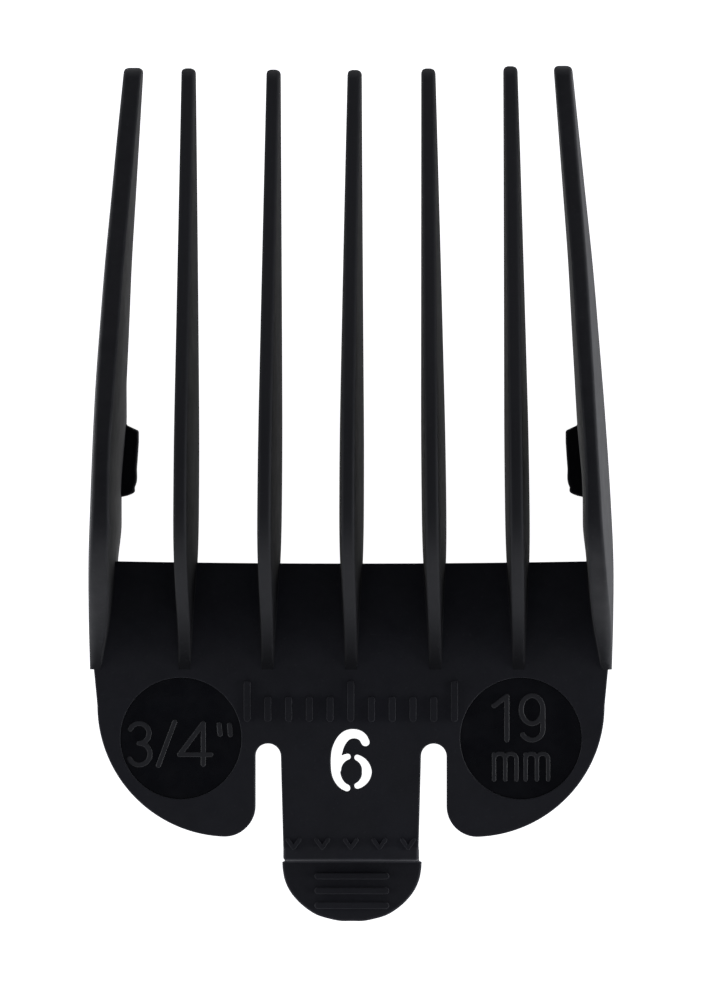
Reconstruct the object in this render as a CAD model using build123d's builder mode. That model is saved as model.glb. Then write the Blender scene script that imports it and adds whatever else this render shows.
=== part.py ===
"""Clip-on guard comb (size 6, 19 mm) for a 46 mm hair clipper blade, with a spring release tab.

Millimetres. The guard lies blade side down: +Z is the skin side, +Y runs to the tooth tips,
and the origin is the centre of the bounding box's underside.
"""

from build123d import *
from math import atan2, cos, degrees, radians, sqrt, tan
import os

os.makedirs("parts", exist_ok=True)

# ---- driving sizes ----
blade_width = 46.0          # clipper blade the guard grips
blade_play = 0.5            # free space at each side of the blade
blade_stack = 3.1           # blade thickness the hooks reach round
cut_length = 19.0           # hair length left by this guard
overall_length = 86.6
tooth_reach = 49.95         # plate front edge to tooth tip
plate_thickness = 1.8
tooth_height = 17.3         # blade seat to the crest of a tooth
tooth_pitch = 8.4
tooth_toe_in = 0.55         # degrees the inner teeth lean to the middle
crest_width = 1.3           # skin edge of an inner tooth
tooth_draft = 1.9           # degrees, each flank
tooth_waist = 0.65          # degrees, plan taper of each flank to the tip
hook_thickness = 1.3
neck_half = 7.1             # release tab, half width at its root
neck_thickness = 1.5
slot_width = 2.6
knuckle_gap = 0.05          # running clearance where the tab bends
disc_radius = 6.13
disc_offset = 17.22
disc_sink = 0.3             # size discs lie this far below the plate's face
mark_height = 0.2           # raised marks stand this far proud

# ---- derived sizes ----
seat_half = blade_width / 2 + blade_play
seat_z = hook_thickness + blade_stack
plate_top = seat_z + plate_thickness
crest_z = seat_z + tooth_height
tip_y = overall_length / 2
front_y = tip_y - tooth_reach
front_sag = 0.22
root_y = front_y - 10.95
shoulder_half = seat_half + 2.55
root_half = seat_half + 1.3  # inner side of an outer tooth's root
slot_top_y = front_y - 18.45
slot_round_y = slot_top_y - slot_width / 2
lobe_inner = neck_half + slot_width
lobe_radius = 13.3
lobe_x = 12.4
lobe_y = root_y - 3.65
lobe_corner = 3.1
corner_x = lobe_inner + lobe_corner
corner_y = lobe_y - sqrt((lobe_radius - lobe_corner) ** 2 - (corner_x - lobe_x) ** 2)
pivot_y = slot_top_y - 2.4
knuckle_radius = neck_thickness / 2
pivot_z = plate_top - knuckle_radius
wall_back_y = front_y - 30.55
wall_front_y = wall_back_y + 1.4
wall_half = 6.85
flange_half = 7.1
flange_end_y = -overall_length / 2
flange_thickness = 1.5
disc_y = front_y - 17.92
crest_half = crest_width / 2


# ---- shared cutters ----
with BuildPart() as numeral_six:
    with BuildSketch(Plane.XY.offset(seat_z - 1)):
        # Bowl of the figure, then its back and top hook.
        with Locations((0, slot_top_y - 2.85)):
            Circle(2.1)
            Circle(1.08, mode=Mode.SUBTRACT)
        with BuildLine():
            Line((-1.56, slot_top_y - 2.85), (-1.56, slot_top_y - 0.6))
            CenterArc((0, slot_top_y - 0.6), 1.56, 180, -163)
        trace(line_width=1.0)
        with Locations((1.46, slot_top_y - 0.15)):
            Circle(0.5)
        # Two stencil bridges hold the middle island.
        with Locations((0.2, slot_top_y - 1.3), (0.15, slot_top_y - 4.6)):
            Rectangle(0.5, 1.3, mode=Mode.SUBTRACT)
    extrude(amount=plate_thickness + 2)

# ---- plate with its rear lobes, disc pockets and the root of the tab ----
with BuildPart() as base_plate:
    with BuildSketch(Plane.XY.offset(seat_z)):
        with BuildLine():
            ThreePointArc(
                (0, front_y - front_sag),
                (seat_half / 2, front_y - front_sag * 0.75),
                (seat_half, front_y),
            )
            Polyline(
                (seat_half, front_y),
                (root_half, root_y),
                (shoulder_half, root_y),
                (lobe_x + lobe_radius, lobe_y),
            )
            # The lobe's arc runs on into its tighter inner corner.
            meet = degrees(atan2(corner_y - lobe_y, corner_x - lobe_x))
            CenterArc((lobe_x, lobe_y), lobe_radius, 0, meet)
            CenterArc((corner_x, corner_y), lobe_corner, meet, -180 - meet)
            Line((lobe_inner, corner_y), (lobe_inner, slot_round_y))
            ThreePointArc(
                (lobe_inner, slot_round_y),
                (neck_half + slot_width / 2, slot_top_y),
                (neck_half, slot_round_y),
            )
            Polyline((neck_half, slot_round_y), (neck_half, pivot_y), (0, pivot_y))
            mirror(about=Plane.YZ)
        make_face()
    extrude(amount=plate_thickness)
    rim = base_plate.faces().sort_by(Axis.Z)[-1].outer_wire().edges()
    fillet([e for e in rim if pivot_y + 0.1 > e.center().Y or e.center().Y < slot_top_y + 1
            and abs(e.center().X) > neck_half + 0.1], radius=0.35)
    # Pockets for the two size discs.
    with Locations((-disc_offset, disc_y, plate_top), (disc_offset, disc_y, plate_top)):
        Cylinder(disc_radius, 0.9, align=(Align.CENTER, Align.CENTER, Align.MAX), mode=Mode.SUBTRACT)
    # The tab's root is thinned from below and ends in a round seat for the bend.
    with Locations((0, pivot_y, seat_z)):
        Box(2 * neck_half, 2 * (slot_top_y - pivot_y), plate_thickness - neck_thickness,
            align=(Align.CENTER, Align.CENTER, Align.MIN), mode=Mode.SUBTRACT)
    with Locations(Location((0, pivot_y, pivot_z), (0, 90, 0))):
        Cylinder(knuckle_radius + knuckle_gap, 2 * neck_half + 1, mode=Mode.SUBTRACT)
    add(numeral_six.part, mode=Mode.SUBTRACT)

# ---- side profile shared by all teeth, seen along X ----
nose = 1.0
crest = (front_y + 7.15, crest_z)
crest_front = (tip_y - 33.7, crest_z - 1.6)
tip_top = (tip_y, seat_z + 2.6)
with BuildPart() as tooth_side:
    with BuildSketch(Plane.YZ):
        with BuildLine():
            Spline(
                (root_y, plate_top),
                (root_y + 3.6, plate_top + 1.9),
                (root_y + 7.6, plate_top + 8.2),
                (root_y + 11.6, plate_top + 13.4),
                crest,
                tangents=((1, 0.16), (1, 0)),
            )
            slope = (tip_top[1] - crest_front[1]) / (tip_top[0] - crest_front[0])
            Spline(crest, crest_front, tangents=((1, 0), (1, slope)))
            bend = (tip_y - nose, tip_top[1] - slope * nose)
            Line(crest_front, bend)
            ThreePointArc(bend, (tip_y - 0.22, seat_z + 1.9), (tip_y, seat_z + 0.9))
            Polyline(
                (tip_y, seat_z + 0.9),
                (tip_y - 0.5, seat_z),
                (root_y, seat_z),
                (root_y, plate_top),
            )
        make_face()
    extrude(amount=30, both=True)

# ---- five inner teeth: fins drafted from the crest down, thickest below the crest ----
with BuildPart() as inner_tooth:
    with BuildSketch(Plane.XY.offset(seat_z)):
        rear, belly, ahead = root_y - 4, front_y + 2, tip_y + 4
        foot = crest_half + tooth_height * tan(radians(tooth_draft))
        rear_half = crest_half - 0.1
        ahead_half = foot - (ahead - belly) * tan(radians(tooth_waist))
        Polygon(
            (-rear_half, rear), (rear_half, rear), (foot, belly),
            (ahead_half, ahead), (-ahead_half, ahead), (-foot, belly), align=None,
        )
    extrude(amount=tooth_height + 1, taper=tooth_draft)
    add(tooth_side.part, mode=Mode.INTERSECT)

tooth_names = ["inner_tooth_1", "inner_tooth_2", "inner_tooth_3", "inner_tooth_4", "inner_tooth_5"]
inner_teeth = []
for i in range(5):
    place = i - 2
    turn = tooth_toe_in * (place > 0) - tooth_toe_in * (place < 0)
    with BuildPart() as tooth:
        with Locations(Location((place * tooth_pitch, 0, 0), (0, 0, turn))):
            add(inner_tooth.part)
        add(base_plate.part, mode=Mode.SUBTRACT)
    tooth.part.label = tooth_names[i]
    inner_teeth.append(tooth.part)

# ---- plan of an outer tooth, upright on its inner side where it runs along the blade ----
inner_run = [(23.5, -0.5), (22.95, 7.5), (22.5, 15.7), (22.1, 23.8), (21.65, 30.5), (20.75, 43.8)]
outer_run = [(22.65, 43.8), (23.4, 36), (24.0, 29.9), (24.6, 23.8), (25.25, 15.7), (25.85, 7.6), (26.35, -0.5),
             (26.62, -7), (26.6, -12), (26.45, root_y)]
inner_lean, outer_lean = 0.57, -1.09
outer_plans = []
for level, lean_in, lean_out in ((seat_z, 0, 0), (crest_z + 0.5, inner_lean, outer_lean)):
    rear_in = seat_half + lean_in * 0.45
    root_in = root_half + lean_in * 0.45
    ins = [(rear_in, -0.5)] + [(x + lean_in, y) for x, y in inner_run[1:]]
    outs = [(x + lean_out, y) for x, y in outer_run]
    tip_way = (ins[-1][0] - ins[-2][0], ins[-1][1] - ins[-2][1])
    with BuildSketch(Plane.XY.offset(level)) as outer_plan:
        with BuildLine():
            Polyline((root_in, root_y), (rear_in, front_y), ins[0])
            Spline(*ins, tangents=((0, 1), tip_way))
            Line(ins[-1], outs[0])
            Spline(*outs)
            Line(outs[-1], (root_in, root_y))
        make_face()
    outer_plans.append(outer_plan.sketch)

with BuildPart() as outer_tooth:
    add(outer_plans[0])
    add(outer_plans[1])
    loft(ruled=True)
    add(tooth_side.part, mode=Mode.INTERSECT)

# ---- side wall beside the blade, below the seat ----
with BuildPart() as side_wall:
    add(outer_plans[0])
    extrude(amount=-seat_z)
    with BuildSketch(Plane.YZ):
        with BuildLine():
            Polyline(
                (root_y, seat_z),
                (root_y, seat_z - 0.9),
                (front_y + 1.5, 0),
                (front_y + 14.3, 0),
                (front_y + 17.9, seat_z),
                (root_y, seat_z),
            )
        make_face()
    extrude(amount=30, both=True, mode=Mode.INTERSECT)

# ---- hook that reaches under the blade ----
with BuildPart() as blade_hook:
    with BuildSketch():
        with BuildLine():
            Polyline(
                (seat_half + 1.5, front_y + 6.5),
                (seat_half - 0.4, front_y + 6.55),
                (seat_half - 0.95, front_y + 6.9),
                (seat_half - 1.37, front_y + 7.6),
                (seat_half - 1.75, front_y + 12.15),
                (seat_half - 1.75, front_y + 13.25),
                (seat_half - 0.35, front_y + 14.1),
                (seat_half + 1.5, front_y + 14.3),
                close=True,
            )
        make_face()
    extrude(amount=hook_thickness)
    fillet(blade_hook.faces().sort_by(Axis.Z)[-1].edges().filter_by(
        lambda e: e.center().X < seat_half - 0.3), radius=0.3)
    add(side_wall.part, mode=Mode.SUBTRACT)

# ---- release tab: neck that bends at a round knuckle ----
with BuildPart() as tab_neck:
    with BuildSketch(Plane.YZ):
        with Locations(((wall_front_y + pivot_y) / 2, pivot_z)):
            Rectangle(pivot_y - wall_front_y, neck_thickness)
        with Locations((pivot_y, pivot_z)):
            Circle(knuckle_radius)
    extrude(amount=neck_half, both=True)
    with BuildSketch(Plane.XY):
        Polygon(
            (-neck_half, pivot_y + 1), (-wall_half, wall_front_y),
            (wall_half, wall_front_y), (neck_half, pivot_y + 1), align=None,
        )
    extrude(amount=plate_top + 1, mode=Mode.INTERSECT)
    add(numeral_six.part, mode=Mode.SUBTRACT)

# ---- wall that drops behind the blade's heel ----
with BuildPart() as tab_wall:
    with BuildSketch(Plane.YZ):
        with Locations(((wall_front_y + wall_back_y) / 2, (plate_top + flange_thickness) / 2)):
            Rectangle(wall_front_y - wall_back_y, plate_top - flange_thickness)
    extrude(amount=wall_half, both=True)
    back_top = tab_wall.edges().filter_by(Axis.X).sort_by(lambda e: e.center().Z - e.center().Y)[-1]
    fillet(back_top, radius=0.5)

# ---- thumb flange ----
with BuildPart() as tab_flange:
    with BuildSketch():
        with BuildLine():
            Polyline(
                (0, wall_front_y), (wall_half, wall_front_y),
                (wall_half, wall_back_y), (flange_half, wall_back_y),
            )
            Spline(
                (flange_half, wall_back_y),
                (flange_half - 0.27, wall_back_y - 1.95),
                (flange_half - 1.53, wall_back_y - 4.0),
                (flange_half - 3.6, flange_end_y + 0.59),
                (0, flange_end_y),
                tangents=((0, -1), (-1, 0)),
            )
            mirror(about=Plane.YZ)
        make_face()
    extrude(amount=flange_thickness)
    thumb_edge = tab_flange.faces().sort_by(Axis.Z)[-1].edges().filter_by(
        lambda e: e.center().Y < wall_back_y - 0.1)
    fillet(thumb_edge, radius=0.35)

# ---- lip that snaps under the heel ----
with BuildPart() as tab_catch:
    with BuildSketch(Plane.YZ):
        with BuildLine():
            Polyline(
                (wall_front_y, 0),
                (wall_front_y + 0.3, 0),
                (wall_front_y + 0.75, 0.5),
                (wall_front_y + 0.75, hook_thickness - 0.3),
                (wall_front_y, flange_thickness),
                close=True,
            )
        make_face()
    extrude(amount=5, both=True)

# ---- polished size discs sunk in the plate ----
with BuildPart() as size_disc:
    with Locations((0, disc_y, plate_top - 0.9)):
        Cylinder(disc_radius, 0.9 - disc_sink, align=(Align.CENTER, Align.CENTER, Align.MIN))

# ---- raised figures on the discs ----
disc_face = plate_top - disc_sink
with BuildPart() as size_mark_inch:
    with BuildSketch(Plane.XY.offset(disc_face)):
        with BuildLine():
            CenterArc((-21.45, disc_y + 0.55), 1.0, 150, -240)
        trace(line_width=0.5)
        with BuildLine():
            CenterArc((-21.45, disc_y - 1.55), 1.12, 90, -245)
        trace(line_width=0.5)
        with BuildLine():
            Line((-19.45, disc_y - 2.7), (-17.85, disc_y + 1.6))
        trace(line_width=0.5)
        with BuildLine():
            Polyline((-14.1, disc_y - 1.6), (-17.3, disc_y - 1.6), (-14.95, disc_y + 1.35))
        trace(line_width=0.5)
        with BuildLine():
            Line((-14.95, disc_y - 2.7), (-14.95, disc_y + 1.6))
        trace(line_width=0.5)
        with Locations((-13.3, disc_y + 0.85), (-12.2, disc_y + 0.85)):
            Rectangle(0.5, 1.3)
    extrude(amount=mark_height)

with BuildPart() as size_mark_metric:
    with BuildSketch(Plane.XY.offset(disc_face)):
        with BuildLine():
            Polyline((14.45, disc_y + 3.2), (15.4, disc_y + 4.2), (15.4, disc_y - 0.45))
        trace(line_width=0.5)
        with Locations((18.25, disc_y + 3.15)):
            Circle(1.4)
            Circle(0.9, mode=Mode.SUBTRACT)
        with BuildLine():
            ThreePointArc((19.4, disc_y + 3.15), (18.95, disc_y + 0.9), (17.4, disc_y - 0.2))
        trace(line_width=0.5)
        for left in (14.45, 17.55):
            with Locations((left + 1.15, disc_y - 3.1)):
                with GridLocations(1.15, 1, 3, 1):
                    Rectangle(0.42, 2.4)
            for k in range(2):
                with BuildLine():
                    CenterArc((left + 0.575 + 1.15 * k, disc_y - 1.95), 0.575, 0, 180)
                trace(line_width=0.42)
    extrude(amount=mark_height)

# ---- row of plain ticks between the discs, long and short like a rule ----
with BuildPart() as rule_ticks:
    with BuildSketch(Plane.XY.offset(plate_top)):
        for k in range(-5, 6):
            length = 4.2 if k % 5 == 0 else 2.6
            with Locations((2.1 * k, root_y - 5.3)):
                Rectangle(0.7, length, align=(Align.CENTER, Align.MIN))
    extrude(amount=mark_height)

# ---- arrowheads that point to the flange ----
with BuildPart() as tab_arrows:
    with BuildSketch(Plane.XY.offset(plate_top)):
        with GridLocations(2.9, 1, 5, 1):
            with Locations((0, wall_front_y + 0.35)):
                Polygon((-0.95, 0.9), (0.95, 0.9), (0, -0.6), align=None)
    extrude(amount=mark_height)

# ---- grip ribs on the flange ----
with BuildPart() as flange_ribs:
    with BuildSketch(Plane.XY.offset(flange_thickness)):
        with Locations((0, wall_back_y - 3.0)):
            with GridLocations(1, 1.5, 1, 3):
                SlotOverall(7.6, 0.7)
    extrude(amount=0.3)

# ---- write every piece ----
for part in inner_teeth:
    export_step(part, f"parts/{part.label}.step")

pairs = [("outer_tooth", outer_tooth), ("side_wall", side_wall), ("blade_hook", blade_hook)]
for name, piece in pairs:
    right = piece.part
    right.label = name + "_right"
    export_step(right, f"parts/{name}_right.step")
    left = mirror(right, about=Plane.YZ)
    left.label = name + "_left"
    export_step(left, f"parts/{name}_left.step")

for side, sign in (("left", -1), ("right", 1)):
    disc = Pos(sign * disc_offset, 0, 0) * size_disc.part
    disc.label = "size_disc_" + side
    export_step(disc, f"parts/size_disc_{side}.step")

base_plate.part.label = "base_plate"
tab_neck.part.label = "tab_neck"
tab_wall.part.label = "tab_wall"
tab_flange.part.label = "tab_flange"
tab_catch.part.label = "tab_catch"
size_mark_inch.part.label = "size_mark_inch"
size_mark_metric.part.label = "size_mark_metric"
rule_ticks.part.label = "rule_ticks"
tab_arrows.part.label = "tab_arrows"
flange_ribs.part.label = "flange_ribs"
for piece in (base_plate, tab_neck, tab_wall, tab_flange, tab_catch, size_mark_inch,
              size_mark_metric, rule_ticks, tab_arrows, flange_ribs):
    export_step(piece.part, f"parts/{piece.part.label}.step")
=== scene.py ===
"""Looks of the clipper guard comb: one black moulding on a white shooting table. Works in millimetres,
then scales to metres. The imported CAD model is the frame; every piece below stands for named CAD nodes."""

import math

import bmesh
import bpy
import numpy as np
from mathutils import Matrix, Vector
from mathutils.geometry import tessellate_polygon


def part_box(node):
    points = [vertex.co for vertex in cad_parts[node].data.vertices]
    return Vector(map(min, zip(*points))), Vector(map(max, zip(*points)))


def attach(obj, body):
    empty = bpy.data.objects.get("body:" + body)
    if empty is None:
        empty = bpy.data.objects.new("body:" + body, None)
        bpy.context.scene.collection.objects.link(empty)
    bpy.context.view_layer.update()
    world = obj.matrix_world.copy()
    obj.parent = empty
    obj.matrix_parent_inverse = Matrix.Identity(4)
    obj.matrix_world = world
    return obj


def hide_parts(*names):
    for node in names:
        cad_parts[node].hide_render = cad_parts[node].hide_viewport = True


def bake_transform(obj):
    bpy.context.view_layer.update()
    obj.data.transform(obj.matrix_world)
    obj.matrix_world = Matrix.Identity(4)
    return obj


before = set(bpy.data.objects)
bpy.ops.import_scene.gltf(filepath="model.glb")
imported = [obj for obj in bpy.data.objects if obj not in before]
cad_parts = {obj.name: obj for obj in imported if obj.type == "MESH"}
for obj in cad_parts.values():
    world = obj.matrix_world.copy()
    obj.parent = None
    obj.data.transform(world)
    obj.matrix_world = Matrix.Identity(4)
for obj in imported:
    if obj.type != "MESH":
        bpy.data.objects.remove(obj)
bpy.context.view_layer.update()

MM = 0.001


def mm(node):
    """Lowest and highest corner of a CAD node, in millimetres."""
    lo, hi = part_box(node)
    return np.array(lo) / MM, np.array(hi) / MM


# ---- levels and lines taken from the CAD nodes ----
plate_hi = mm("base_plate")[1]
tooth_lo, tooth_hi = mm("inner_tooth_3")
outer_lo, outer_hi = mm("outer_tooth_right")
neck_hi = mm("tab_neck")[1]
step_lo, step_hi = mm("tab_wall")
flange_lo, flange_hi = mm("tab_flange")
disc_lo, disc_hi = mm("size_disc_right")
SEAT, TOP, CREST = tooth_lo[2], plate_hi[2], tooth_hi[2]
ROOT, TIP = outer_lo[1], outer_hi[1]
FRONT = ROOT + 10.95
SLOT = FRONT - 18.45
NECK, LOBE_IN = neck_hi[0], neck_hi[0] + 2.6
SEAT_HALF = 23.5


# ================= shapes =================
def arc(cx, cy, r, a0, a1, n=16):
    """Points on an arc, angles in degrees."""
    t = np.radians(np.linspace(a0, a1, n))
    return np.c_[cx + r * np.cos(t), cy + r * np.sin(t)]


def resample(loop, step, closed=True):
    """The same outline with points at most step apart, corners kept."""
    pts, out = np.asarray(loop, float), []
    count = len(pts) if closed else len(pts) - 1
    for i in range(count):
        a, b = pts[i], pts[(i + 1) % len(pts)]
        n = max(1, int(math.ceil(np.linalg.norm(b - a) / step)))
        out += [a + (b - a) * k / n for k in range(n)]
    return np.array(out if closed else out + [pts[-1]])


def tidy(loop, least=1e-4):
    """Drops points that repeat."""
    pts = [p for i, p in enumerate(loop) if np.linalg.norm(p - loop[i - 1]) > least]
    return np.array(pts)


def inset(loop, d):
    """Moves every point of a loop d to its left, which is into the material."""
    a, b = np.roll(loop, 1, 0), np.roll(loop, -1, 0)
    u, v = loop - a, b - loop
    u /= np.linalg.norm(u, axis=1)[:, None]
    v /= np.linalg.norm(v, axis=1)[:, None]
    nu, nv = np.c_[-u[:, 1], u[:, 0]], np.c_[-v[:, 1], v[:, 0]]
    n = nu + nv
    n /= np.maximum(np.linalg.norm(n, axis=1), 1e-6)[:, None]
    stretch = 1 / np.maximum((n * nu).sum(1), 0.5)
    return loop + n * (d * stretch)[:, None]


def rings(z0, z1, r0, r1, n=5):
    """(inset, height) steps up the edge of a slab with rounded rims."""
    steps = [(r0 + 0.04, z0), (r0, z0)] if r0 else [(0.04, z0)]
    turn = np.linspace(0, math.pi / 2, n)
    if r0:
        steps += [(r0 * (1 - math.sin(t)), z0 + r0 * (1 - math.cos(t))) for t in turn[1:]]
    else:
        steps += [(0, z0)]
    if r1:
        steps += [(r1 * (1 - math.cos(t)), z1 - r1 * (1 - math.sin(t))) for t in turn]
        steps += [(r1 + 0.04, z1)]
    else:
        steps += [(0, z1), (0.04, z1)]
    return steps


def cap(bm, loops, up):
    """Fills between loops of bmesh vertices, seen from above if up."""
    flat = [v for loop in loops for v in loop]
    tris = tessellate_polygon([[Vector((v.co.x, v.co.y, 0)) for v in loop] for loop in loops])
    for t in tris:
        a, b, c = (flat[i] for i in t)
        area = (b.co.x - a.co.x) * (c.co.y - a.co.y) - (c.co.x - a.co.x) * (b.co.y - a.co.y)
        if abs(area) < 1e-9:
            continue
        try:
            bm.faces.new((a, b, c) if (area > 0) == up else (a, c, b))
        except ValueError:
            pass


def wall(bm, loop, steps):
    """Quads up the side of a loop; returns its lowest and highest ring."""
    made = [[bm.verts.new((*p, z)) for p in inset(loop, d)] for d, z in steps]
    n = len(loop)
    for low, high in zip(made, made[1:]):
        for i in range(n):
            j = (i + 1) % n
            bm.faces.new((low[i], low[j], high[j], high[i]))
    return made[0], made[-1]


def slab(outer, holes, z0, z1, r0=0.1, r1=0.1, pockets=(), hole_r=0.12):
    """A plate between two heights with rounded rims.
    Outer runs anticlockwise, holes and pockets clockwise."""
    bm = bmesh.new()
    low, high = wall(bm, outer, rings(z0, z1, r0, r1))
    lows, highs = [low], [high]
    for hole in holes:
        low, high = wall(bm, hole, rings(z0, z1, hole_r, hole_r, 4))
        lows.append(low)
        highs.append(high)
    for loop, depth in pockets:
        steps = rings(z1 - depth, z1, 0, 0.07, 4)[1:]
        low, high = wall(bm, loop, steps)
        highs.append(high)
        cap(bm, [low], True)
    cap(bm, lows, False)
    cap(bm, highs, True)
    return bm


def contours(field, x0, x1, y0, y1, h=0.06):
    """Closed outlines where field(x, y) crosses zero, material (field < 0) on the left."""
    xs, ys = np.arange(x0, x1 + h, h), np.arange(y0, y1 + h, h)
    gx, gy = np.meshgrid(xs, ys, indexing="ij")
    f = field(gx, gy)
    f = np.where(np.abs(f) < 1e-6, 1e-6, f)
    follow, place = {}, {}

    def cross(i, j, k, m):
        key = (min((i, j), (k, m)), max((i, j), (k, m)))
        a, b = f[i, j], f[k, m]
        t = a / (a - b)
        place[key] = (xs[i] + (xs[k] - xs[i]) * t, ys[j] + (ys[m] - ys[j]) * t)
        return key

    cells = [f[:-1, :-1], f[1:, :-1], f[:-1, 1:], f[1:, 1:]]
    mixed = np.argwhere((np.minimum.reduce(cells) < 0) & (np.maximum.reduce(cells) > 0))
    for i, j in mixed:
        corners = [(i, j), (i + 1, j), (i + 1, j + 1), (i, j + 1)]
        inside = [f[c] < 0 for c in corners]
        exits, enters = [], []
        for k in range(4):
            m = (k + 1) % 4
            if inside[k] and not inside[m]:
                exits.append(cross(*corners[k], *corners[m]))
            elif inside[m] and not inside[k]:
                enters.append(cross(*corners[k], *corners[m]))
        for a, b in zip(exits, enters):
            follow[a] = b
    loops = []
    while follow:
        start = next(iter(follow))
        key, loop = start, []
        while key in follow:
            loop.append(place[key])
            key = follow.pop(key)
        loops.append(tidy(np.array(loop), h * 0.2))
    return loops


def area(loop):
    x, y = loop[:, 0], loop[:, 1]
    return 0.5 * float((x * np.roll(y, -1) - y * np.roll(x, -1)).sum())


def strokes(paths, start, middle=None, end=None):
    """Distance field of round-ended strokes along open paths, as wide as given at start, middle and end."""
    middle, end = middle or start, end or start

    def field(x, y):
        d = np.full(x.shape, 1e9)
        for path in paths:
            p = np.asarray(path, float)
            run = np.r_[0, np.cumsum(np.linalg.norm(np.diff(p, axis=0), axis=1))]
            wide = np.interp(run / run[-1], [0, 0.5, 1], [start, middle, end])
            for a, b, wa, wb in zip(p, p[1:], wide, wide[1:]):
                ab = b - a
                t = np.clip(((x - a[0]) * ab[0] + (y - a[1]) * ab[1]) / max(ab @ ab, 1e-12), 0, 1)
                off = np.hypot(x - a[0] - t * ab[0], y - a[1] - t * ab[1])
                d = np.minimum(d, off - (wa + (wb - wa) * t) / 2)
        return d

    return field


def hermite(points):
    """Smooth curve y(x) through points; slopes may be given as a third number."""
    p = [tuple(q) for q in points]
    x, y = np.array([q[0] for q in p], float), np.array([q[1] for q in p], float)
    d = np.gradient(y, x)
    for i, q in enumerate(p):
        if len(q) > 2:
            d[i] = q[2]

    def at(v):
        v = np.asarray(v, float)
        i = np.clip(np.searchsorted(x, v) - 1, 0, len(x) - 2)
        w = x[i + 1] - x[i]
        t = (v - x[i]) / w
        inside = (
            (2 * t**3 - 3 * t**2 + 1) * y[i] + (t**3 - 2 * t**2 + t) * w * d[i]
            + (-2 * t**3 + 3 * t**2) * y[i + 1] + (t**3 - t**2) * w * d[i + 1]
        )
        after = np.where(v > x[-1], y[-1] + (v - x[-1]) * d[-1], inside)
        return np.where(v < x[0], y[0] + (v - x[0]) * d[0], after)

    return at


def smooth(a, b, v):
    t = np.clip((np.asarray(v, float) - a) / (b - a), 0, 1)
    return t * t * (3 - 2 * t)


# ================= making objects =================
def finish_mesh(bm, name, material, angle=38):
    """Turns a bmesh in millimetres into a shown object in metres with smooth and sharp edges told apart."""
    bmesh.ops.remove_doubles(bm, verts=bm.verts, dist=2e-5)
    bmesh.ops.recalc_face_normals(bm, faces=bm.faces)
    bmesh.ops.scale(bm, vec=(MM, MM, MM), verts=bm.verts)
    mesh = bpy.data.meshes.new(name)
    bm.to_mesh(mesh)
    bm.free()
    for poly in mesh.polygons:
        poly.use_smooth = True
    mesh.set_sharp_from_angle(angle=math.radians(angle))
    obj = bpy.data.objects.new(name, mesh)
    bpy.context.scene.collection.objects.link(obj)
    mesh.materials.append(material)
    return obj


def show(obj, body, slot, *nodes):
    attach(obj, body)
    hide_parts(*nodes)
    return obj


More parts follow.
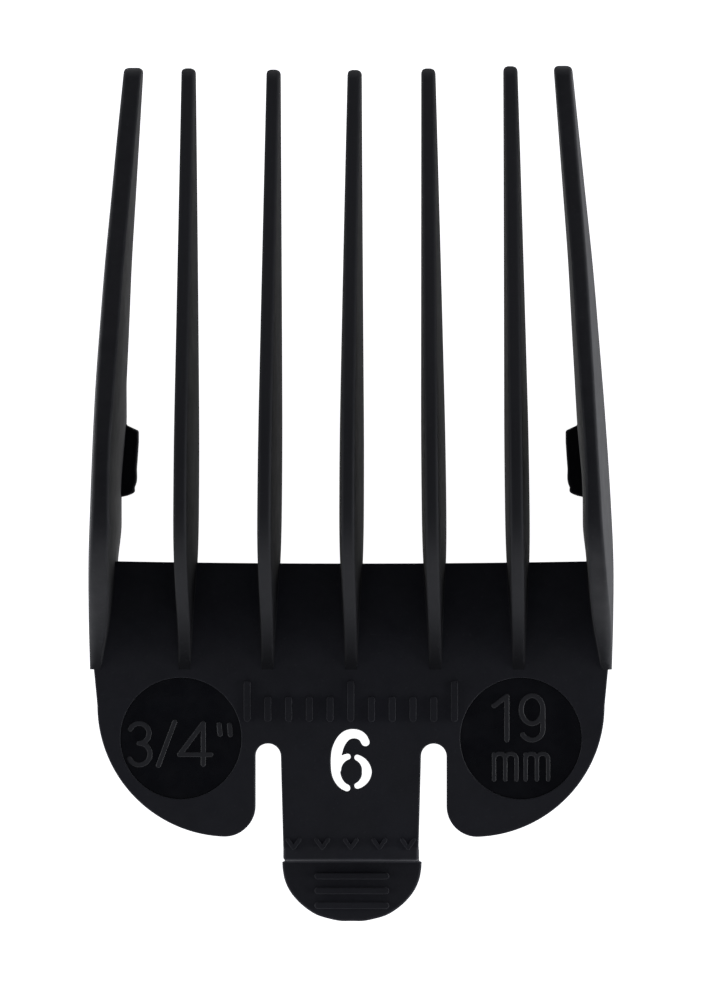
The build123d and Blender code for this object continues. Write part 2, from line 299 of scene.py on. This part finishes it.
# ================= materials =================
def plastic(name, base, rough, grain, grain_size, wear=0.05, specks=0.0, gloss=0.5, painted_top_colour=None):
    """Black moulded plastic: spark grain, slow waviness, patchy gloss and a little dust.
    The paler colour given last is painted onto skin that faces up, as painted light where the lamps catch the
    tops."""
    mat = bpy.data.materials.new(name)
    mat.use_nodes = True
    nt = mat.node_tree
    nt.nodes.clear()
    out = nt.nodes.new("ShaderNodeOutputMaterial")
    skin = nt.nodes.new("ShaderNodeBsdfPrincipled")
    nt.links.new(skin.outputs["BSDF"], out.inputs["Surface"])
    skin.inputs["IOR"].default_value = 1.49
    where = nt.nodes.new("ShaderNodeTexCoord")

    def noise(scale, detail=2.0, roughness=0.5):
        n = nt.nodes.new("ShaderNodeTexNoise")
        n.inputs["Scale"].default_value = scale
        n.inputs["Detail"].default_value = detail
        n.inputs["Roughness"].default_value = roughness
        nt.links.new(where.outputs["Object"], n.inputs["Vector"])
        return n

    def spread(source, low, high, a=0.3, b=0.7):
        m = nt.nodes.new("ShaderNodeMapRange")
        m.inputs["From Min"].default_value = a
        m.inputs["From Max"].default_value = b
        m.inputs["To Min"].default_value = low
        m.inputs["To Max"].default_value = high
        nt.links.new(source, m.inputs["Value"])
        return m.outputs["Result"]

    fine = noise(1000.0 / grain_size, 3.0, 0.6)
    slow = noise(160.0, 2.0)
    patch = noise(420.0, 4.0, 0.6)
    nt.links.new(spread(patch.outputs["Fac"], rough - wear, rough + wear), skin.inputs["Roughness"])
    tint = nt.nodes.new("ShaderNodeMix")
    tint.data_type = "RGBA"
    tint.inputs["A"].default_value = (*[c * 0.85 for c in base], 1)
    tint.inputs["B"].default_value = (*[c * 1.2 for c in base], 1)
    nt.links.new(spread(slow.outputs["Fac"], 0.0, 1.0), tint.inputs["Factor"])
    colour = tint.outputs["Result"]
    if painted_top_colour:
        # Painted light: skin that faces up is painted paler, a painted highlight for the lamps catching the
        # tops; the highlight fades towards the roots, and the flanks and the roots keep the dark colour.
        facing = nt.nodes.new("ShaderNodeNewGeometry")
        upward = nt.nodes.new("ShaderNodeSeparateXYZ")
        nt.links.new(facing.outputs["Normal"], upward.inputs["Vector"])
        pale = nt.nodes.new("ShaderNodeMix")
        pale.data_type = "RGBA"
        along = nt.nodes.new("ShaderNodeSeparateXYZ")
        nt.links.new(where.outputs["Object"], along.inputs["Vector"])
        painted_top_mask = nt.nodes.new("ShaderNodeMath")
        painted_top_mask.operation = "MULTIPLY"
        nt.links.new(spread(upward.outputs["Z"], 0.0, 1.0, 0.1, 0.5), painted_top_mask.inputs[0])
        rise = spread(along.outputs["Y"], 0.25, 1.0, (ROOT + 0.6) * MM, (ROOT + 6.2) * MM)
        nt.links.new(rise, painted_top_mask.inputs[1])
        nt.links.new(painted_top_mask.outputs["Value"], pale.inputs["Factor"])
        nt.links.new(colour, pale.inputs["A"])
        pale.inputs["B"].default_value = (*painted_top_colour, 1)
        colour = pale.outputs["Result"]
    if specks:
        dust = noise(2600.0, 0.0)
        lift = nt.nodes.new("ShaderNodeMix")
        lift.data_type = "RGBA"
        nt.links.new(spread(dust.outputs["Fac"], 0.0, specks, 0.74, 0.8), lift.inputs["Factor"])
        nt.links.new(colour, lift.inputs["A"])
        lift.inputs["B"].default_value = (0.16, 0.16, 0.17, 1)
        colour = lift.outputs["Result"]
    nt.links.new(colour, skin.inputs["Base Color"])
    deep = nt.nodes.new("ShaderNodeBump")
    deep.inputs["Strength"].default_value = 0.35
    deep.inputs["Distance"].default_value = 0.00003
    nt.links.new(slow.outputs["Fac"], deep.inputs["Height"])
    bump = nt.nodes.new("ShaderNodeBump")
    bump.inputs["Strength"].default_value = grain
    bump.inputs["Distance"].default_value = 0.00002
    nt.links.new(fine.outputs["Fac"], bump.inputs["Height"])
    nt.links.new(deep.outputs["Normal"], bump.inputs["Normal"])
    nt.links.new(bump.outputs["Normal"], skin.inputs["Normal"])
    skin.inputs["Specular IOR Level"].default_value = gloss
    return mat


BODY = plastic("black_spark_plastic", (0.0028, 0.003, 0.006), 0.8, 0.5, 0.16, 0.06, 0.02, 0.4)
# The fin plastic carries a painted highlight: its last colour is painted paler onto the fins' up-facing skin.
EDGE = plastic(
    "black_fin_plastic", (0.004, 0.004, 0.005), 0.92, 0.35, 0.16, 0.06, 0.02, 0.1, (0.0225, 0.0225, 0.024),
)
OUTER = plastic("black_outer_plastic", (0.005, 0.005, 0.0065), 0.88, 0.4, 0.16, 0.06, 0.02, 0.4)
POLISH = plastic("polished_disc", (0.0012, 0.0014, 0.0028), 0.28, 0.12, 0.3)
MARKS = plastic("satin_marks", (0.005, 0.005, 0.0065), 0.6, 0.2, 0.12)

# ================= plate and neck =================
disc_x, disc_y = (disc_lo[0] + disc_hi[0]) / 2, (disc_lo[1] + disc_hi[1]) / 2
disc_r = (disc_hi[0] - disc_lo[0]) / 2
LOBE_X, LOBE_Y, LOBE_R, CORNER = 12.4, ROOT - 3.65, 13.3, 3.1
corner_x = LOBE_IN + CORNER
corner_y = LOBE_Y - math.sqrt((LOBE_R - CORNER) ** 2 - (corner_x - LOBE_X) ** 2)
meet = math.degrees(math.atan2(corner_y - LOBE_Y, corner_x - LOBE_X))
STEP = step_hi[1] + 0.2
slope = (step_hi[0] - NECK) / (SLOT - 1.3 - STEP)
half = np.vstack([
    [(x, FRONT - 0.22 * (1 - (x / SEAT_HALF) ** 2)) for x in np.linspace(0, SEAT_HALF, 20)],
    [(SEAT_HALF + 1.5, FRONT), (SEAT_HALF + 2.4, FRONT - 1),
     (SEAT_HALF + 2.4, ROOT + 0.3), (SEAT_HALF + 2.55, ROOT)],
    arc(LOBE_X, LOBE_Y, LOBE_R, 0, meet, 60),
    arc(corner_x, corner_y, CORNER, meet, -180, 20)[1:],
    arc(NECK + 1.3, SLOT - 1.3, 1.3, 0, 180, 24),
    [(step_hi[0] + slope, STEP - 1), (0, STEP - 1)],
])
# Half outline runs clockwise on the right; reversed and mirrored it becomes one anticlockwise loop.
right = half[::-1]
left = half[1:-1] * (-1, 1)
outline = tidy(resample(np.vstack([right, left]), 0.6))
if area(outline) < 0:
    outline = outline[::-1]

# Stencil figure: two cut-outs with bridges between them.
bowl_y = SLOT - 2.85
spine = [(1.45, 0.15), (1.2, 0.6), (0.75, 0.9), (0.15, 0.98), (-0.45, 0.8), (-0.95, 0.3), (-1.3, -0.4),
         (-1.5, -1.3), (-1.56, -2.3), (-1.5, -3.1), (-1.25, -3.75), (-0.85, -4.25), (-0.42, -4.5)]
spine_x, spine_y = (hermite([(k, p[axis]) for k, p in enumerate(spine)]) for axis in (0, 1))
run = np.linspace(0, len(spine) - 1, 60)
back = np.c_[spine_x(run), SLOT + spine_y(run)]
six_back = strokes([back], 0.88, 1.12, 0.72)
six_brow = strokes([arc(0.05, bowl_y, 1.56, 170, 104, 10)], 1.0, 0.8, 0.62)
six_right = strokes([arc(0.07, bowl_y - 0.02, 1.54, 68, -68, 24)], 0.62, 1.02, 0.62)
six_box = (-3.5, 3.5, SLOT - 7, SLOT + 3)
figures = contours(lambda x, y: np.minimum(six_back(x, y), six_brow(x, y)), *six_box)
figures += contours(six_right, *six_box)
figures = [f[::-1] if area(f) > 0 else f for f in figures]
pockets = [(arc(s * disc_x, disc_y, disc_r + 0.02, 360, 0, 97)[:-1], 0.9) for s in (-1, 1)]
plate = slab(outline, figures, SEAT, TOP, 0.06, 0.16, pockets)


def cut(bm, point, normal):
    everything = bm.verts[:] + bm.edges[:] + bm.faces[:]
    bmesh.ops.bisect_plane(bm, geom=everything, plane_co=point, plane_no=normal)


# The neck is the same skin, cut across into thin slices.
for y in [SLOT] + list(np.linspace(SLOT - 0.35, STEP + 0.3, 30)):
    cut(plate, (0, y, 0), (0, 1, 0))
cut(plate, (0, STEP, 0), (0, 1, 0))
neck = plate.copy()


def keep(bm, wanted):
    gone = [f for f in bm.faces if not wanted(f.calc_center_median())]
    bmesh.ops.delete(bm, geom=gone, context="FACES")


def on_neck(c):
    return abs(c.x) < NECK + 0.02 and c.y < SLOT


keep(plate, lambda c: not on_neck(c))
keep(neck, lambda c: on_neck(c) and c.y > STEP)
for v in neck.verts:
    # Underside of the neck is higher than the plate's.
    if v.co.z < SEAT + 0.5:
        v.co.z += (TOP - SEAT - 1.5) * float(smooth(SLOT, SLOT - 0.5, v.co.y))
show(finish_mesh(plate, "plate_skin", BODY), "comb", "body", "base_plate")

# ================= teeth =================
DRAFT = math.tan(math.radians(2.05))
crest_line = hermite([
    (ROOT, TOP, 0.16), (ROOT + 3.6, TOP + 1.9, 1.05), (ROOT + 7.6, TOP + 8.2, 1.72),
    (ROOT + 11.6, TOP + 13.6, 0.95), (FRONT + 7.15, CREST, 0.0), (TIP - 33.7, CREST - 1.6, -0.36),
    (TIP, SEAT + 2.6, -0.389),
])
stations = np.r_[
    np.linspace(ROOT, ROOT + 2, 14)[:-1], np.linspace(ROOT + 2, FRONT - 0.6, 34)[:-1],
    np.linspace(FRONT - 0.6, FRONT + 10, 30)[:-1], np.linspace(FRONT + 10, TIP - 1.5, 66)[:-1],
    np.linspace(TIP - 1.5, TIP, 12),
]


def nose(y):
    """How far the tip is rounded off at this station: 0 away from it, 1 at its very end."""
    t = np.clip((y - (TIP - 1.1)) / 1.1, 0, 1)
    return 1 - math.sqrt(max(0.0, 1 - t * t))


def fin(x_low, x_high, bottom, edge_y, foot_low, foot_high, round_low, round_high, flare=0.13):
    """A fin as rings across it. x_low and x_high give its two flanks at (y, z); bottom gives its lower edge.
    Foot flags say which flank flows into the plate behind edge_y."""
    bm = bmesh.new()
    made = []
    ys = sorted(set(list(stations) + [edge_y - 0.01, edge_y + 0.01]))
    for y in ys:
        top = float(crest_line(y)) - 1.4 * nose(y)
        low = float(bottom(y)) + 0.5 * nose(y)
        over_plate = y < edge_y
        h = top - TOP
        ring = []
        for side in (0, 1):
            flank = x_high if side else x_low
            out = 1 if side else -1
            foot = (foot_high if side else foot_low) and over_plate
            width = x_high(y, top) - x_low(y, top)
            r_high = min(round_high(y), 0.65 * width)
            r = r_high if side else max(0.02, min(round_low(y), width - r_high - 0.03))
            if foot:
                r = min(r, max(0.02, 0.7 * h))
            points = []
            if foot:
                f = min(flare, max(0.02, 0.9 * h))
                points += [(flank(y, low), low if low < SEAT - 0.01 else TOP - 0.5),
                           (flank(y, low), TOP - 0.5 if low < SEAT - 0.01 else TOP - 0.45)]
                base = TOP - 0.03 * f
                for t in np.linspace(0, math.pi / 2, 6):
                    z = base + f * (1 - math.cos(t))
                    points.append((flank(y, base + f) + out * f * (1 - math.sin(t)), z))
                start = base + f
            else:
                rb = 0.12
                points += [(flank(y, low) - out * rb, low), (flank(y, low + rb), low + rb)]
                start = min(max(TOP - 1.6, low + 0.3), top - r - 0.02)
                for t in np.linspace(0.15, 1, 6):
                    z = low + rb + (start - low - rb) * t
                    points.append((flank(y, z), z))
            for t in np.linspace(0, 1, 7)[1:]:
                z = start + (top - r - start) * t
                points.append((flank(y, z), z))
            x_top = flank(y, top - r)
            for t in np.linspace(0, math.pi / 2, 6)[1:]:
                points.append((x_top - out * r * (1 - math.cos(t)), top - r + r * math.sin(t)))
            ring.append(points)
        made.append([bm.verts.new((x, y, z)) for x, z in ring[0] + ring[1][::-1]])
    n = len(made[0])
    for a, b in zip(made, made[1:]):
        for i in range(n):
            j = (i + 1) % n
            bm.faces.new((a[i], b[i], b[j], a[j]))
    bm.faces.new(made[0])
    bm.faces.new(made[-1][::-1])
    return bm


def tip_pinch(y):
    """Half width lost at the rounded tip."""
    t = np.clip((y - (TIP - 0.5)) / 0.5, 0, 1)
    return 0.4 * (1 - math.sqrt(max(0.0, 1 - t * t)))


def reach(bm, extra):
    """Makes a fin a little longer towards its tip."""
    for v in bm.verts:
        v.co.y += extra * max(0.0, (v.co.y - FRONT - 10) / (TIP - FRONT - 10))


# Small warps of the moulding, left to right: each inner fin's shift at its foot and at its tip,
# and its extra length.
foot_shift, tip_shift = [0.12, 0.13, 0.03, 0.0, 0.05], [-0.1, 0.12, 0.36, -0.16, -0.24]
tip_extra = [0.04, -0.1, -0.14, 0.0, 0.22]
for i in range(5):
    lo, hi = mm(f"inner_tooth_{i + 1}")
    place = (i - 2) * 8.4
    toe = -math.tan(math.radians(0.55)) * np.sign(i - 2)

    def middle(y, place=place, toe=toe, foot=foot_shift[i], tip=tip_shift[i]):
        return place + toe * y + foot + (tip - foot) * max(0.0, (y - FRONT) / (TIP - FRONT)) ** 1.5

    def half_width(y, z):
        crest_half = 0.64 - 0.07 * float(smooth(FRONT - 3, ROOT, y))
        return crest_half + DRAFT * (float(crest_line(y)) - z) - tip_pinch(y)

    edge_y = FRONT - 0.25 * (1 - (place / SEAT_HALF) ** 2)
    bm = fin(
        lambda y, z: middle(y) - half_width(y, z), lambda y, z: middle(y) + half_width(y, z),
        lambda y: SEAT, edge_y, True, True, lambda y: 0.3, lambda y: 0.3,
    )
    reach(bm, tip_extra[i])
    show(finish_mesh(bm, f"fin_{i + 1}", EDGE, 60), "comb", "body", f"inner_tooth_{i + 1}")

inner_run = hermite([
    (ROOT, SEAT_HALF, 0), (-0.5, SEAT_HALF, 0), (7.5, 22.95), (15.7, 22.5), (23.8, 22.1), (30.5, 21.65),
    (43.8, 20.75),
])
outer_run = hermite([
    (ROOT, 26.45), (-12, 26.6), (-7, 26.62), (-0.5, 26.35), (7.6, 25.85), (15.7, 25.25), (23.8, 24.6),
    (29.9, 24.0), (36, 23.4), (43.8, 22.65),
])
# Over the plate the inner flank closes in on the outer one, so the tooth ends as a wedge.
wedge = hermite([
    (ROOT, 1.9), (ROOT + 2.3, 1.45), (ROOT + 4.6, 1.0), (ROOT + 7.1, 0.65), (FRONT + 0.5, 0.32),
    (FRONT + 4, 0, 0), (TIP, 0, 0),
])
wall_line = [
    (ROOT - 1, 3.3), (ROOT, 3.5), (FRONT + 1.5, 0), (FRONT + 14.3, 0), (FRONT + 17.9, SEAT), (TIP + 5, SEAT),
]


def wall_bottom(y):
    return float(np.mean(np.interp(y + np.linspace(-0.5, 0.5, 9), *zip(*wall_line))))


# The left outer tooth stands out a little further than the right one.
bulge = hermite([
    (ROOT, 0.08), (FRONT, 0.08), (0, 0.15), (8, 0.29), (12, 0.33), (20, 0.29), (30, 0.23), (36, 0.2), (43, 0.1),
])


def outer_rounding(y):
    """Radius of the outer tooth's outer shoulder, fuller over the plate."""
    return 0.35 + 1.0 * float(smooth(FRONT - 1, ROOT + 3, y) * smooth(ROOT, ROOT + 2, y))


for side, sign, shift, longer, out in (("left", -1, 0.28, 0.1, 1), ("right", 1, -0.28, 0.26, 0)):

    def lean(y, shift=shift):
        return shift * max(0.0, (y - FRONT) / (TIP - FRONT)) ** 1.5

    def inner_flank(y, z):
        up = max(0.0, z - SEAT) / (CREST + 0.5 - SEAT)
        crest_lean = up * (0.26 + 0.31 * float(smooth(-0.5, 7.5, y)))
        return float(inner_run(y)) + float(wedge(y)) + lean(y) + crest_lean + tip_pinch(y)

    def outer_flank(y, z, out=out):
        up = max(0.0, z - SEAT) / (CREST + 0.5 - SEAT)
        return float(outer_run(y)) + lean(y) + out * float(bulge(y)) - 1.09 * up - tip_pinch(y)

    bm = fin(
        inner_flank, outer_flank, wall_bottom, FRONT, True, False, lambda y: 0.3, outer_rounding,
    )
    for v in bm.verts:
        v.co.x *= sign
    reach(bm, longer)
    cut(bm, (0, 0, SEAT), (0, 0, 1))
    low = bm.copy()
    keep(bm, lambda c: c.z > SEAT)
    keep(low, lambda c: c.z < SEAT)
    show(finish_mesh(bm, f"outer_fin_{side}", OUTER, 60), "comb", "body", f"outer_tooth_{side}")
    show(finish_mesh(low, f"blade_wall_{side}", BODY, 60), "comb", "body", f"side_wall_{side}")
    heel = hermite([
        (FRONT + 6.5, 0.1, -8.0), (FRONT + 6.72, -0.75), (FRONT + 7.6, -1.37), (FRONT + 9.6, -1.57),
        (FRONT + 12.15, -1.75),
    ])
    low_y = np.linspace(FRONT + 6.5, FRONT + 12.15, 40)
    hook = np.vstack([
        [(SEAT_HALF + 0.6, FRONT + 6.5)], np.c_[SEAT_HALF + heel(low_y), low_y],
        arc(SEAT_HALF - 1.45, FRONT + 13.1, 0.3, 180, 125, 8),
        arc(SEAT_HALF - 0.45, FRONT + 14.43, 0.5, -55, -90, 6),
        [(SEAT_HALF + 0.6, FRONT + 14.2)],
    ]) * (sign, 1)
    hook = hook if area(hook) > 0 else hook[::-1]
    hook_mesh = slab(hook, [], 0, 1.3, 0.15, 0.25)
    show(finish_mesh(hook_mesh, f"hook_{side}", BODY), "comb", "body", f"blade_hook_{side}")

# ================= size discs and figures =================
for side, sign in (("left", -1), ("right", 1)):
    ring = arc(sign * disc_x, disc_y, disc_r, 0, 360, 97)[:-1]
    disc = slab(ring, [], disc_lo[2], disc_hi[2], 0, 0.03)
    show(finish_mesh(disc, f"disc_{side}", POLISH), "comb", "disc", f"size_disc_{side}")


def raised(name, groups, base, height, material, body, node, round_top=0.07):
    """Raised figures as one piece: groups holds (paths, stroke width)."""
    whole = bmesh.new()
    for paths, width in groups:
        pts = np.vstack([np.asarray(p, float) for p in paths])
        x0, y0 = pts.min(0) - width
        x1, y1 = pts.max(0) + width
        loops = contours(strokes(paths, width), x0, x1, y0, y1, 0.05)
        outers = [c for c in loops if area(c) > 0]
        inners = [c for c in loops if area(c) < 0]
        for outer in outers:
            (ax, ay), (bx, by) = outer.min(0), outer.max(0)
            held = [c for c in inners if ax < c[0][0] < bx and ay < c[0][1] < by]
            one = slab(outer, held, base - 0.05, base + height, 0, round_top, hole_r=round_top)
            mesh = bpy.data.meshes.new("joined")
            one.to_mesh(mesh)
            one.free()
            whole.from_mesh(mesh)
            bpy.data.meshes.remove(mesh)
    show(finish_mesh(whole, name, material), body, "marks", node)


dy, dz = disc_y, disc_hi[2]
inch = [
    ([arc(-21.45, dy + 0.5, 1.0, 155, -90, 22), arc(-21.45, dy - 1.6, 1.1, 90, -155, 22)], 0.5),
    ([[(-19.5, dy - 2.75), (-17.85, dy + 1.65)]], 0.5),
    ([[(-14.2, dy - 1.65), (-17.35, dy - 1.65), (-14.95, dy + 1.5), (-14.95, dy - 2.65)]], 0.5),
    ([[(-13.35, dy + 1.4), (-13.25, dy + 0.4)]], 0.5),
    ([[(-12.3, dy + 1.35), (-12.2, dy + 0.35)]], 0.5),
]
raised("inch_figures", inch, dz, 0.2, MARKS, "comb", "size_mark_inch")
metric = [
    ([[(14.5, dy + 3.3), (15.8, dy + 4.3), (15.8, dy - 0.15)]], 0.5),
    ([(arc(0, 0, 1, 0, 360, 36) * (1.1, 1.42)) + (18.35, dy + 2.93),
      np.vstack([[(19.45, dy + 2.93)], arc(18.35, dy + 0.95, 1.1, 0, -150, 20)])], 0.5),
]
for x in (14.5, 17.7):
    stems = [[(x + 1.14 * k, dy - 4.16), (x + 1.14 * k, dy - 2.1 + 0.5 * (k == 0))] for k in range(3)]
    metric.append((stems + [arc(x + 0.57 + 1.14 * k, dy - 2.1, 0.57, 0, 180, 12) for k in range(2)], 0.42))
raised("metric_figures", metric, dz, 0.2, MARKS, "comb", "size_mark_metric")

tick_lo = mm("rule_ticks")[0]
ticks = []
for k in range(-5, 6):
    length = 4.2 if k % 5 == 0 else 2.6
    ticks.append(([[(2.1 * k, tick_lo[1] + 0.35), (2.1 * k, tick_lo[1] + length - 0.35)]], 0.7))
raised("plain_ticks", ticks, TOP, 0.12, BODY, "comb", "rule_ticks")

arrow_lo, arrow_hi = mm("tab_arrows")
ay = (arrow_lo[1] + arrow_hi[1]) / 2
arrows = []
for x in 2.9 * np.arange(-2, 3):
    arrows.append(([[(x - 0.6, ay + 0.45), (x, ay - 0.35), (x + 0.6, ay + 0.45)]], 0.4))
raised("release_arrows", arrows, TOP, 0.1, BODY, "release_tab", "tab_arrows")
rib_lo, rib_hi = mm("flange_ribs")
ribs = [([[(-3.45, y), (3.45, y)]], 0.7) for y in np.linspace(rib_lo[1] + 0.35, rib_hi[1] - 0.35, 3)]
raised("thumb_ribs", ribs, flange_hi[2], 0.18, BODY, "release_tab", "flange_ribs", 0.1)

# ================= release tab =================
yb, yf = step_lo[1], step_hi[1]
profile = np.vstack([
    [(STEP + 1, TOP - 1.5), (STEP + 1, TOP)],
    arc(yb + 0.5, TOP - 0.22, 0.22, 90, 180, 8),
    arc(yb - 0.25, flange_hi[2] + 0.23, 0.25, 0, -90, 8),
    [(yb - 0.25, flange_hi[2] - 0.4), (yf, flange_hi[2] - 0.4)],
    arc(yf, TOP - 1.5, 0.001, 180, 90, 2),
])
profile = tidy(profile)
profile = profile if area(profile) > 0 else profile[::-1]
bm = slab(profile, [], -step_hi[0], step_hi[0], 0.3, 0.3)
for v in bm.verts:
    v.co = Vector((v.co.z, v.co.x, v.co.y))
cut(bm, (0, STEP, 0), (0, 1, 0))
keep(bm, lambda c: c.y < STEP)
show(finish_mesh(bm, "tab_step", BODY), "release_tab", "body", "tab_wall")

fh = flange_hi[0]
side_pts = [
    (fh, yb), (fh - 0.06, yb - 0.9), (fh - 0.27, yb - 1.95), (fh - 0.75, yb - 3.0), (fh - 1.53, yb - 4.0),
    (fh - 2.5, yb - 4.85), (fh - 3.6, flange_lo[1] + 0.59), (fh - 4.9, flange_lo[1] + 0.2),
    (1.1, flange_lo[1]), (0, flange_lo[1]),
]
side_x, side_y = (hermite([(k, p[axis]) for k, p in enumerate(side_pts)]) for axis in (0, 1))
along = np.linspace(0, len(side_pts) - 1, 70)
curve = np.c_[side_x(along), side_y(along)]
curve[-1] = (0, flange_lo[1])
step_side = step_hi[0] - 0.05
half_thumb = np.vstack([[(0, yf), (step_side, yf), (step_side, yb + 0.02)], curve[1:]])
loop = tidy(np.vstack([half_thumb[::-1], half_thumb[1:-1] * (-1, 1)]))
loop = loop if area(loop) > 0 else loop[::-1]
flange = slab(loop, [], 0, flange_hi[2], 0.12, 0.22)
show(finish_mesh(flange, "thumb_flange", BODY), "release_tab", "body", "tab_flange")

catch_lo, catch_hi = mm("tab_catch")
lip = np.array([(yf - 0.1, 0.0), (yf + 0.3, 0.0), (yf + 0.75, 0.5), (yf + 0.75, 1.0), (yf - 0.1, 1.55)])
bm = slab(lip if area(lip) > 0 else lip[::-1], [], catch_lo[0], catch_hi[0], 0.08, 0.08)
for v in bm.verts:
    v.co = Vector((v.co.z, v.co.x, v.co.y))
show(finish_mesh(bm, "catch_lip", BODY), "release_tab", "body", "tab_catch")

neck_obj = finish_mesh(neck, "neck_skin", BODY)
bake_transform(neck_obj)
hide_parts("tab_neck")

# ================= table, light and camera =================
bpy.ops.mesh.primitive_plane_add(size=6.0, location=(0, 0, -0.00002))
floor = bpy.context.object
floor.name = "table"
table = bpy.data.materials.new("white_table")
table.use_nodes = True
white = table.node_tree.nodes["Principled BSDF"]
white.inputs["Base Color"].default_value = (0.9, 0.9, 0.9, 1)
white.inputs["Roughness"].default_value = 0.8
white.inputs["Emission Color"].default_value = (1, 1, 1, 1)
white.inputs["Emission Strength"].default_value = 1.0
floor.data.materials.append(table)

world = bpy.data.worlds.new("studio")
bpy.context.scene.world = world
world.use_nodes = True
wt = world.node_tree
sky = wt.nodes["Background"]
direction = wt.nodes.new("ShaderNodeTexCoord")
split = wt.nodes.new("ShaderNodeSeparateXYZ")
ramp = wt.nodes.new("ShaderNodeValToRGB")
wt.links.new(direction.outputs["Generated"], split.inputs["Vector"])
wt.links.new(split.outputs["Z"], ramp.inputs["Fac"])
wt.links.new(ramp.outputs["Color"], sky.inputs["Color"])
stops = [(0.0, 0.25), (0.3, 0.3), (0.8, 0.3), (0.9, 0.18), (0.97, 0.07), (1.0, 0.05)]
ramp.color_ramp.elements[0].position, ramp.color_ramp.elements[1].position = stops[0][0], stops[-1][0]
for at, value in stops[1:-1]:
    ramp.color_ramp.elements.new(at)
for element, (at, value) in zip(ramp.color_ramp.elements, stops):
    element.position = at
    element.color = (value * 0.93, value * 0.96, value * 1.12, 1)
sky.inputs["Strength"].default_value = 1.0


def softbox(name, place, size, watts, tint=(0.95, 0.97, 1.0)):
    """A soft rectangular lamp that points at the guard."""
    lamp = bpy.data.lights.new(name, "AREA")
    lamp.shape, lamp.size, lamp.size_y, lamp.energy, lamp.color = "RECTANGLE", *size, watts, tint
    holder = bpy.data.objects.new(name, lamp)
    bpy.context.scene.collection.objects.link(holder)
    holder.location = place
    holder.rotation_mode = "QUATERNION"
    holder.rotation_quaternion = (-Vector(place)).to_track_quat("-Z", "Y")


softbox("left_box", (-0.45, -0.02, 0.05), (0.5, 0.08), 2.0)
softbox("right_box", (0.45, -0.02, 0.05), (0.5, 0.08), 2.6)
softbox("rear_box", (0.0, -0.5, 0.1), (0.4, 0.1), 0.8)

# Camera square to the plate, a touch to the right of it.
distance, yaw = 0.9, math.radians(1.3)
aim = Vector((-0.00003, -0.00043, TOP * MM))
data = bpy.data.cameras.new("camera")
data.sensor_width = 36.0
data.lens = 36.0 * distance / 0.10126
data.clip_start, data.clip_end = 0.05, 20
camera = bpy.data.objects.new("camera", data)
bpy.context.scene.collection.objects.link(camera)
back = Vector((math.sin(yaw), 0, math.cos(yaw)))
camera.location = aim + back * distance
camera.rotation_euler = (0, yaw, 0)
bpy.context.scene.camera = camera
bpy.context.scene.view_settings.view_transform = "Standard"
